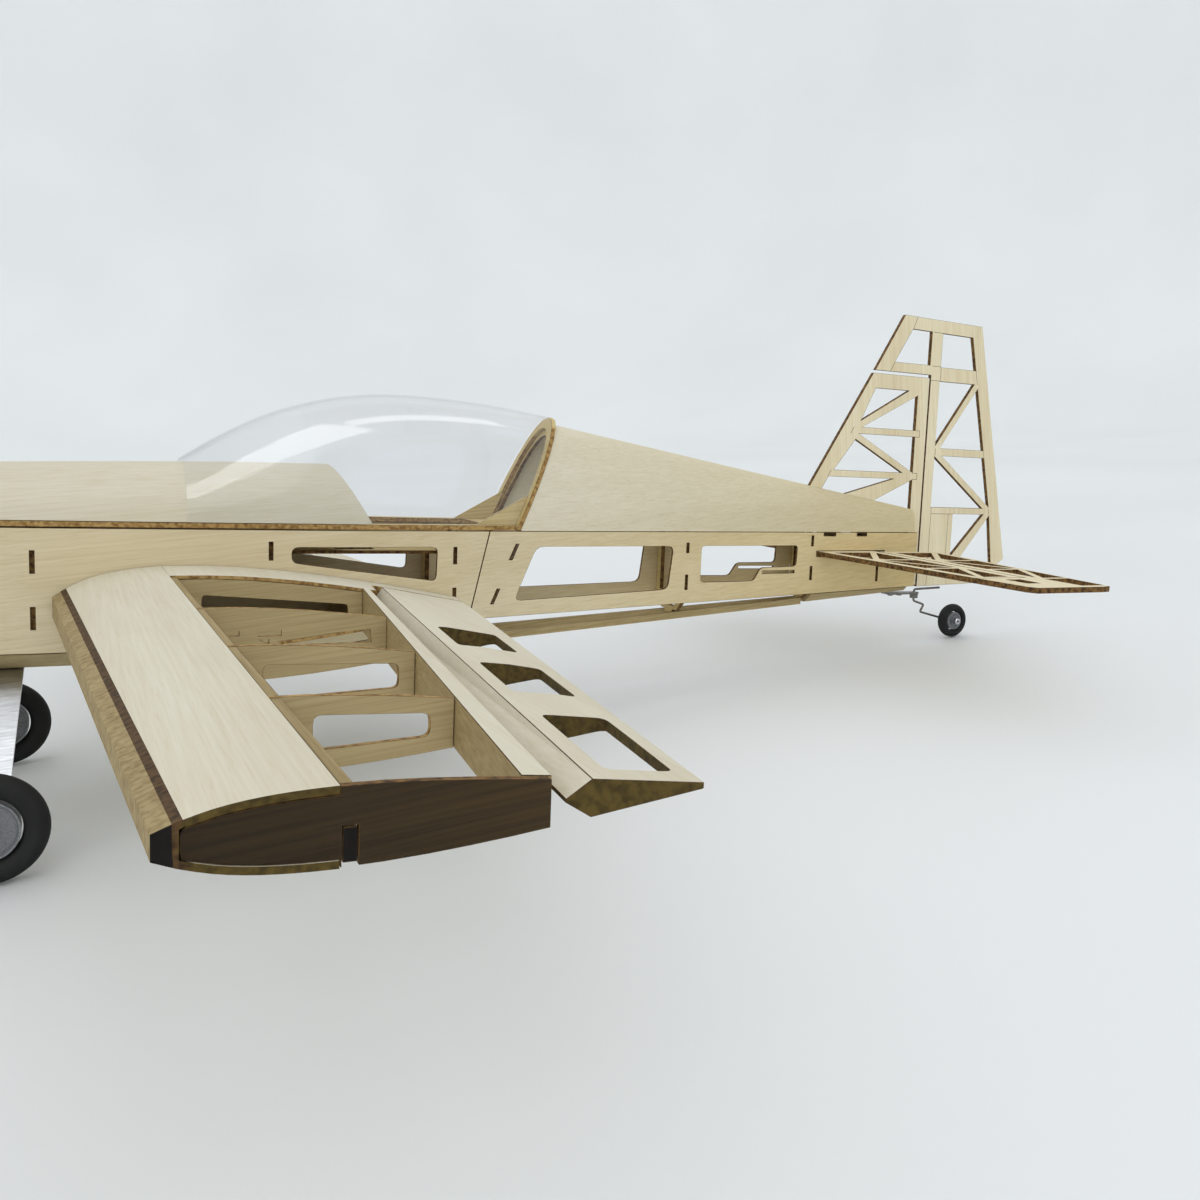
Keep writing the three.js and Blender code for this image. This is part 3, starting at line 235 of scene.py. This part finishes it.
def metal(name, tint, roughness, brushed):
    s = Shader(name, roughness, metallic=1.0)
    lines = s.noise(s.stretched(brushed), detail=4)
    shade = tuple(c * 0.82 for c in tint)
    s.colour(s.ramp(lines, (0.3, linear(*shade)), (0.7, linear(*tint))))
    s.bump(lines, 0.12, 0.00005)
    return s.material


def speckled(name, tint, roughness, size, depth):
    """Moulded plastic or foam rubber: a fine, even tooth with a little unevenness of colour."""
    s = Shader(name, roughness)
    tooth = s.noise(s.stretched((size, size, size)), detail=3)
    low = tuple(c * 0.75 for c in tint)
    s.colour(s.ramp(tooth, (0.3, linear(*low)), (0.7, linear(*tint))))
    s.bump(tooth, 0.4, depth)
    return s.material


# Painted shade: the deck and the sides are painted darker and warmer towards the tail, the sides where the
# stabiliser shades them.
DECK_TAIL_SHADE = (-0.02, 0.33, (1, 1, 1), (0.86, 0.79, 0.60))
SIDE_TAIL_SHADE = (-0.02, 0.33, (1, 1, 1), (1.0, 0.92, 0.70))
BALSA = {g: wood(f"balsa_{g}", (221, 215, 197), (212, 204, 180), g, 0.94) for g in "xy"}
BALSA_DECK = wood("balsa_deck", (229, 223, 205), (219, 211, 187), "x", drift=DECK_TAIL_SHADE)
BALSA_SIDE = wood("balsa_side", (222, 209, 178), (209, 193, 157), "x", drift=SIDE_TAIL_SHADE)
# Painted shade: the wing ribs get a darker, browner tone for the shade inside the wing's bays.
BALSA_RIB_SHADE = wood("balsa_rib_shade_x", (186, 168, 128), (166, 147, 106), "x")
# Painted light: the tail's balsa is made paler than the rest to stand in for more light on the fin and
# tailplane.
BALSA_TAIL_LIT = {g: wood(f"balsa_tail_lit_{g}", (238, 227, 198), (226, 211, 174), g) for g in "yz"}
# Belly and rails: darker amber wood, partly painted shade on these downward-facing parts.
BELLY_SHADE = wood("belly", (192, 174, 132), (164, 144, 100), "x", 0.8)
PLY = {g: wood(f"ply_{g}", (216, 196, 142), (194, 170, 112), g, 0.8) for g in "xy"}
SPAR = wood("spar", (172, 152, 108), (146, 125, 82), "y", 0.8)
# Tip rib: dark plywood whose darkness is partly painted shade, and which is painted darker still towards the
# front as shade.
DARK_PLY_SHADE = wood("dark_ply", (70, 54, 28), (48, 36, 18), "x", 0.75,
                drift=(-0.26, -0.17, (0.45, 0.42, 0.34), (1, 1, 1)))
WALL = scorched("cut_wall", (186, 154, 98), (128, 94, 50))
WALL_DARK = scorched("cut_wall_dark", (132, 100, 56), (70, 47, 24))
# Aileron walls and the sheeting's cut ends: dark olive scorch, partly painted shade on the ends that face
# away from the lights.
WALL_OLIVE_SHADE = scorched("cut_wall_olive_shade", (92, 76, 34), (64, 52, 20))
STICK = scorched("leading_edge_stick", (174, 156, 114), (146, 126, 86))
# Near-black ends: laser char, darkened further as painted shade where the main spar's end sits in the tip
# rib's slot and at the leading-edge stick's end.
CHARRED_AND_SHADE = scorched("charred_and_shaded_end", (20, 14, 9), (10, 7, 5))
LINE = scorched("burnt_line", (96, 72, 42), (58, 40, 22))
CLEAR = clear_sheet()
ALUMINIUM = metal("brushed_aluminium", (205, 207, 210), 0.34, (40, 900, 900))
STEEL = metal("bright_steel", (214, 216, 220), 0.22, (500, 500, 500))
WIRE = metal("spring_wire", (128, 124, 118), 0.34, (500, 500, 500))
RUBBER = speckled("black_rubber", (9, 9, 9), 0.86, 1800, 0.0002)
HUB_GREY = speckled("hub_grey", (132, 134, 137), 0.42, 1200, 0.00004)


# ------------------------------------------------------------------ dressing the CAD nodes
def welded(piece):
    weld = piece.modifiers.new("weld", "WELD")
    weld.merge_threshold = SAME_POINT
    return piece


def dress(name, *materials):
    """Gives a CAD node these materials in place of the ones it was packed with."""
    mesh = nodes[name].data
    mesh.materials.clear()
    for material in materials:
        mesh.materials.append(material)
    return nodes[name]


def facing(*normals, cosine=FACE_COSINE):
    """A test for the faces of a sheet that lie square to one of these directions."""
    return lambda polygon: any(abs(polygon.normal.dot(n)) >= cosine for n in normals)


def laser_cut(name, sheet, wall, is_face):
    """Flat sheet parts: uncut faces in wood, cut walls toasted, and a thin burnt line round each face."""
    piece = dress(name, sheet, wall, LINE)
    for polygon in piece.data.polygons:
        polygon.material_index = 0 if is_face(polygon) else 1
    welded(piece)
    bevel = piece.modifiers.new("burnt_line", "BEVEL")
    bevel.width = EDGE_WEAR
    bevel.segments = 1
    bevel.limit_method = "ANGLE"
    bevel.angle_limit = math.radians(HARD_EDGE)
    bevel.material = 2


def both(name):
    return [f"{name}_left", f"{name}_right"]


def hatch_faces():
    """The hatch frame is a flat ring with upright plates on it, so its faces depend on height."""
    mesh = nodes["hatch_frame"].data
    ring_top = min(v.co.dot(UP) for v in mesh.vertices) + 0.0034
    flat, plate, gusset = facing(UP), facing(AFT), facing(ACROSS, cosine=FLAT_COSINE)
    return lambda polygon: flat(polygon) or (
        polygon.center.dot(UP) > ring_top and (plate(polygon) or gusset(polygon)))


def dress_wood():
    for name in both("side_front") + both("side_rear"):
        laser_cut(name, BALSA_SIDE, WALL_DARK, facing(ACROSS))
    for i in range(1, 7):
        for name in both(f"wing_rib_{i}"):
            laser_cut(name, DARK_PLY_SHADE if i == 6 else BALSA_RIB_SHADE, WALL_DARK if i == 6 else WALL,
                      facing(ACROSS))
    for name in ("firewall", "former_wing_front", "former_wing_rear", "former_slanted", "former_mid",
                 "former_rear", "former_tail"):
        laser_cut(name, PLY["y"], WALL_DARK, facing(AFT))
    for name in ("radio_tray", "gear_plate"):
        laser_cut(name, PLY["x"], WALL_DARK, facing(UP))
    laser_cut("hatch_frame", PLY["x"], WALL, hatch_faces())
    for name in ("fin", "rudder"):
        laser_cut(name, BALSA_TAIL_LIT["z"], WALL_DARK, facing(ACROSS))
    for name in ["stabiliser", *both("elevator")]:
        laser_cut(name, BALSA_TAIL_LIT["y"], WALL_DARK, facing(UP))
    for name in both("aileron"):
        laser_cut(name, BALSA["y"], WALL_OLIVE_SHADE, facing(UP, cosine=0.3))
    for name in both("main_spar"):
        laser_cut(name, SPAR, CHARRED_AND_SHADE, facing(AFT, UP))
    for name in both("rear_spar"):
        laser_cut(name, BALSA["y"], SPAR, facing(UP))
    for name in ["belly_front", "belly_rear", *both("belly_rail")]:
        dress(name, BELLY_SHADE)


# ------------------------------------------------------------------ refined pieces
def stick_cuts(form):
    """The planes along the leading-edge stick's rear line, one each side of a thin burnt line."""
    planes = []
    across = [v.co.dot(ACROSS) for v in form.verts]
    ends = []
    for end in (min(across), max(across)):
        rows = sorted({round(v.co.dot(AFT), 5) for v in form.verts if abs(v.co.dot(ACROSS) - end) < 0.0001})
        ends.append(AFT * rows[1] + ACROSS * end)
    normal = (ends[1] - ends[0]).cross(UP).normalized()
    if normal.dot(AFT) < 0:
        normal.negate()
    for shift in (0.0, 0.0004):
        planes.append((ends[0] + AFT * shift, normal))
    return planes


def refined(node, materials, levels=2, crease_above=38, index_of=None, planes_of=None):
    """A smooth piece that stands for a coarse CAD node: its triangles joined to quads and subdivided,
    with edges sharper than crease_above degrees kept sharp. index_of picks each face's material, and
    planes_of gives planes that the form is first split along."""
    source = nodes[node]
    mesh = source.data.copy()
    mesh.name = f"{node}_fine"
    form = bmesh.new()
    form.from_mesh(mesh)
    bmesh.ops.remove_doubles(form, verts=form.verts, dist=SAME_POINT)
    bmesh.ops.join_triangles(form, faces=form.faces, angle_face_threshold=math.radians(30),
                             angle_shape_threshold=math.radians(60))
    planes = planes_of(form) if planes_of else []
    for point, normal in planes:
        parts = form.verts[:] + form.edges[:] + form.faces[:]
        bmesh.ops.bisect_plane(form, geom=parts, plane_co=point, plane_no=normal, dist=SAME_POINT)
    form.normal_update()
    crease = form.edges.layers.float.new("crease_edge")
    for edge in form.edges:
        if len(edge.link_faces) == 2 and edge.calc_face_angle() > math.radians(crease_above):
            edge[crease] = 1.0
    for face in form.faces:
        face.smooth = True
        face.material_index = index_of(face, planes) if index_of else 0
    mesh.materials.clear()
    for material in materials:
        mesh.materials.append(material)
    form.to_mesh(mesh)
    form.free()
    piece = bpy.data.objects.new(f"{node}_fine", mesh)
    bpy.context.scene.collection.objects.link(piece)
    smooth = piece.modifiers.new("smooth", "SUBSURF")
    smooth.levels = levels
    smooth.render_levels = levels
    split = piece.modifiers.new("sharp_edges", "EDGE_SPLIT")
    split.split_angle = math.radians(HARD_EDGE)
    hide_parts(node)
    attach(piece, source["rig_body"])
    return piece


def is_end(face):
    return abs(face.normal.dot(ACROSS)) > 0.9


def end_or_skin(face, _planes):
    return 1 if is_end(face) else 0


def stick_or_sheet(face, planes):
    """Sheet 0, sheet's cut end 1, stick 2, stick's end 3, burnt line 4; both ends are partly painted shade,
    and the stick's end is also charred.
    """
    centre = face.calc_center_median()
    passed = sum((centre - point).dot(normal) > 0 for point, normal in planes)
    if passed == 0:
        return 3 if is_end(face) else 2
    if passed == 1:
        return 4
    return 1 if is_end(face) else 0


def refine_shells():
    refined("canopy", [CLEAR])
    refined("turtle_deck", [BALSA_DECK], levels=1)
    refined("deck_sheet", [BALSA["x"]])
    for name in both("leading_edge_box"):
        refined(name, [BALSA["y"], WALL_OLIVE_SHADE, STICK, CHARRED_AND_SHADE, LINE], levels=1,
                crease_above=30, index_of=stick_or_sheet, planes_of=stick_cuts)
    for name in both("root_fairing"):
        refined(name, [BALSA["y"], WALL], levels=1, crease_above=30, index_of=end_or_skin)
    refined("main_gear_leg", [ALUMINIUM], crease_above=60)
    refined("wing_tube", [ALUMINIUM], levels=1)
    for name in ["tail_tyre", *both("main_tyre")]:
        refined(name, [RUBBER], crease_above=85)
    for name in ["tail_hub", *both("main_hub")]:
        refined(name, [HUB_GREY])
    welded(dress("tail_bracket", WIRE))
    for name in both("main_axle"):
        welded(dress(name, STEEL))


# Where the glued sticks of the fin and rudder meet, in millimetres aft of and up from the middle of the
# rudder's hinge line.
FIN_RIBS = ((36.5, 41.5), (2.5, 7.5))       # lower and upper edge of each of the fin's ribs
POST_FRONT = -11.5                          # front edge of the fin's post
POST_LAP = 4.5                              # how far a rib is let into the post
RUDDER_RIBS = ((82.3, 93.1), (22.8, 28.3), (-24.3, -19.7))
FRONT_STICK = 10.5                          # rear edge of the rudder's front stick
FRONT_CUTS = (120.2, 93.6, 82.3)            # heights where that stick is pieced
HORN_CUTS = (((-20.4, 120.9), (-16.6, 130.3)), ((-36.4, 93.9), (-40.4, 86.5)))
FOOT_TOP, FOOT_END, FOOT_REAR = -24.7, -84.3, 29.0      # the solid foot below the lowest rib


def leading(up):
    """Rear edge of the fin's sloping front stick at a height."""
    return -95.6 + 0.568 * up


def trailing(up):
    """Front edge of the rudder's sloping rear stick at a height."""
    return 67.9 - 0.218 * up


def fin_joints():
    lap = POST_FRONT + POST_LAP
    lines = []
    for low, high in FIN_RIBS:
        lines += [((lap, low), (lap, high)), ((leading(low), low), (leading(high), high))]
        lines += [((POST_FRONT, up), (lap, up)) for up in (low, high)]
    return lines


def rudder_joints():
    lines = list(HORN_CUTS)
    for low, high in RUDDER_RIBS:
        lines += [((FRONT_STICK, low), (FRONT_STICK, high)), ((trailing(low), low), (trailing(high), high))]
    lines += [((1.1, up), (FRONT_STICK, up)) for up in FRONT_CUTS]
    lines.append(((FRONT_STICK, FOOT_END), (FRONT_STICK, FOOT_TOP)))
    lines.append(((FRONT_STICK, FOOT_TOP), (FOOT_REAR + 4.8, FOOT_TOP)))
    lines.append(((FOOT_REAR, FOOT_END + 9.3), (FOOT_REAR, FOOT_TOP)))
    return lines


def joint_lines(name, body, joints_mm, half_thickness):
    """Thin dark glue lines: a narrow blade through the wood for each, a hair proud of both faces."""
    middle = Vector(joints["rudder_hinge"]["pos_m"])
    form = bmesh.new()
    for (aft0, up0), (aft1, up1) in joints_mm:
        start = middle + (AFT * aft0 + UP * up0) / 1000
        end = middle + (AFT * aft1 + UP * up1) / 1000
        side = (end - start).cross(ACROSS).normalized() * JOINT_HALF_WIDTH
        corners = (start - side, end - side, end + side, start + side)
        rings = [[form.verts.new(c + ACROSS * y) for c in corners] for y in (-half_thickness, half_thickness)]
        form.faces.new(rings[0])
        form.faces.new(reversed(rings[1]))
        for i in range(4):
            k = (i + 1) % 4
            form.faces.new((rings[0][i], rings[0][k], rings[1][k], rings[1][i]))
    bmesh.ops.recalc_face_normals(form, faces=form.faces)
    mesh = bpy.data.meshes.new(name)
    form.to_mesh(mesh)
    form.free()
    mesh.materials.append(LINE)
    piece = bpy.data.objects.new(name, mesh)
    bpy.context.scene.collection.objects.link(piece)
    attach(piece, body)


def add_joint_lines():
    low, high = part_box("fin")
    proud = (high.y - low.y) / 2 + JOINT_PROUD
    joint_lines("fin_joint_lines", nodes["fin"]["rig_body"], fin_joints(), proud)
    joint_lines("rudder_joint_lines", "rudder", rudder_joints(), proud)


def tail_wire():
    """The tail wheel's bent wire with its tiller arm, axle and collar, as one smooth round rod."""
    hinge = Vector(joints["rudder_hinge"]["pos_m"])
    low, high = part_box("tail_tyre")
    wheel = (low + high) / 2
    depth = (wheel - hinge).dot(UP)
    reach = (wheel - hinge).dot(AFT)
    beside = (high.y - low.y) / 2 + 0.0025

    def at(aft, across, up):
        return hinge + AFT * aft + ACROSS * across + UP * (depth + up)

    points = [at(0.0265, 0, 0.0276), at(0.0010, 0, 0.0266), at(0, 0, 0.0256), at(0, 0, 0.0171),
              at(0.0115, 0.0005, 0.0136), at(0.0085, 0.001, 0.0076),
              at(reach - 0.003, wheel.y + beside, 0.0004), at(reach, wheel.y + beside - 0.0006, 0),
              at(reach, wheel.y, 0), at(reach, wheel.y - beside - 0.0015, 0)]
    curve = bpy.data.curves.new("tail_wire", "CURVE")
    curve.dimensions = "3D"
    curve.bevel_depth = WIRE_RADIUS
    curve.bevel_resolution = 4
    curve.use_fill_caps = True
    rounded = []
    for before, corner, after in zip(points, points[1:], points[2:]):
        bend = min(WIRE_BEND, (corner - before).length / 2, (after - corner).length / 2)
        start = corner + (before - corner).normalized() * bend
        end = corner + (after - corner).normalized() * bend
        rounded += [start.lerp(corner, t).lerp(corner.lerp(end, t), t) for t in (0, 0.25, 0.5, 0.75, 1)]
    route = [points[0], *rounded, points[-1]]
    spline = curve.splines.new("POLY")
    spline.points.add(len(route) - 1)
    for point, place in zip(spline.points, route):
        point.co = (*place, 1)
    wire = bpy.data.objects.new("tail_wire", curve)
    bpy.context.scene.collection.objects.link(wire)
    wire.data.materials.append(WIRE)
    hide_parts("tail_strut")
    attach(wire, "rudder")
    collar(at(reach, wheel.y - (high.y - low.y) / 2 - 0.002, 0))


def collar(centre):
    """A turned steel collar with a rounded rim that keeps the wheel on its wire."""
    radius, half = 0.0026, 0.0014
    profile = [(0.00092, -half), (radius - 0.0004, -half), (radius, -half + 0.0004),
               (radius, half - 0.0004), (radius - 0.0004, half), (0.00092, half)]
    sides = 28
    form = bmesh.new()
    rings = []
    for step in range(sides):
        turn = 2 * math.pi * step / sides
        spoke = AFT * math.cos(turn) + UP * math.sin(turn)
        rings.append([form.verts.new(centre + spoke * r + ACROSS * y) for r, y in profile])
    for ring, following in zip(rings, rings[1:] + rings[:1]):
        for i in range(len(profile)):
            k = (i + 1) % len(profile)
            form.faces.new((ring[i], ring[k], following[k], following[i]))
    bmesh.ops.recalc_face_normals(form, faces=form.faces)
    mesh = bpy.data.meshes.new("tail_collar")
    form.to_mesh(mesh)
    form.free()
    mesh.materials.append(STEEL)
    piece = bpy.data.objects.new("tail_collar", mesh)
    bpy.context.scene.collection.objects.link(piece)
    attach(piece, "rudder")


# ------------------------------------------------------------------ camera, light and floor
CARD_RADIANCE = 2.8         # of the softboxes that only reflections show


def add_camera():
    data = bpy.data.cameras.new("camera")
    data.lens = 34.87
    data.shift_x = -0.0889
    data.shift_y = -0.0096
    data.clip_start = 0.01
    camera = bpy.data.objects.new("camera", data)
    camera.location = (-0.2612, -0.7416, 0.2182)
    camera.rotation_euler = [math.radians(a) for a in (80.10, 2.876, -29.194)]
    bpy.context.scene.collection.objects.link(camera)
    bpy.context.scene.camera = camera


def area_light(name, place, aim, size, watts, along=(1, 0, 0)):
    """A rectangular lamp facing aim, with its first side laid as nearly as possible along a direction."""
    data = bpy.data.lights.new(name, "AREA")
    data.shape = "RECTANGLE"
    data.size, data.size_y = size
    data.energy = watts
    lamp = bpy.data.objects.new(name, data)
    back = (Vector(place) - Vector(aim)).normalized()
    first = Vector(along)
    first = (first - back * first.dot(back)).normalized()
    turn = Matrix((first, back.cross(first), back)).transposed()
    lamp.matrix_world = Matrix.Translation(place) @ turn.to_4x4()
    bpy.context.scene.collection.objects.link(lamp)
    return lamp


def reflected_card(name, start, end, width):
    """A long softbox that the canopy mirrors as a streak, and that adds no diffuse light."""
    first = Vector(end) - Vector(start)
    watts = CARD_RADIANCE * math.pi * first.length * width
    middle = (Vector(start) + Vector(end)) / 2
    card = area_light(name, middle, CANOPY_AIM, (first.length, width), watts, along=first)
    card.visible_diffuse = False
    card.visible_camera = False


def add_sweep():
    """A pale round floor that curves up into a wall tall enough to fill the background from low down."""
    flat, bend, wall, sides, steps = 3.2, 1.4, 2.2, 96, 16
    profile = [(0.0, 0.0), (flat, 0.0)]
    for step in range(1, steps + 1):
        turn = math.pi / 2 * step / steps
        profile.append((flat + bend * math.sin(turn), bend * (1 - math.cos(turn))))
    profile.append((flat + bend, bend + wall))
    form = bmesh.new()
    line = [form.verts.new((r, 0, z)) for r, z in profile]
    edges = [form.edges.new(pair) for pair in zip(line, line[1:])]
    bmesh.ops.spin(form, geom=line + edges, cent=(0, 0, 0), axis=(0, 0, 1), angle=2 * math.pi,
                   steps=sides, use_merge=True)
    bmesh.ops.remove_doubles(form, verts=form.verts, dist=0.0001)
    bmesh.ops.recalc_face_normals(form, faces=form.faces)
    for face in form.faces:
        face.smooth = True
    mesh = bpy.data.meshes.new("floor")
    form.to_mesh(mesh)
    form.free()
    floor = bpy.data.objects.new("floor", mesh)
    bpy.context.scene.collection.objects.link(floor)
    s = Shader("floor", 0.6)
    cloud = s.noise(s.stretched((1.5, 1.5, 1.5)), detail=2)
    pale = s.ramp(cloud, (0.3, linear(240, 242, 242)), (0.7, linear(246, 248, 248)))
    # Painted light and shade: the floor is darker near the middle, under the aeroplane, and paler out to the
    # wall, so the backdrop looks brighter lit.
    s.colour(s.multiply(pale, s.outwards(0.5, 3.6, (0.90, 0.90, 0.90), (1, 1, 1))))
    mesh.materials.append(s.material)


def add_studio():
    scene = bpy.context.scene
    scene.view_settings.view_transform = "Standard"
    world = bpy.data.worlds.new("studio")
    scene.world = world
    world.use_nodes = True
    world.node_tree.nodes["Background"].inputs["Color"].default_value = (0.955, 0.975, 1.0, 1)
    world.node_tree.nodes["Background"].inputs["Strength"].default_value = 1.0
    key = area_light("key", (-0.8, -1.6, 1.0), CANOPY_AIM, (2.2, 1.2), 6)
    fill = area_light("fill", (0.6, 1.3, 2.2), (0.0, 0.0, 0.1), (1.8, 1.4), 2)
    key.visible_camera = False
    fill.visible_camera = False
    reflected_card("card_left", (-1.5, -1.5, 0.85), (0.3, -0.95, 2.15), 1.0)
    reflected_card("card_right", (0.3, -0.85, 2.15), (1.2, -0.55, 2.05), 0.35)
    add_sweep()


add_camera()
dress_wood()
refine_shells()
add_joint_lines()
tail_wire()
add_studio()
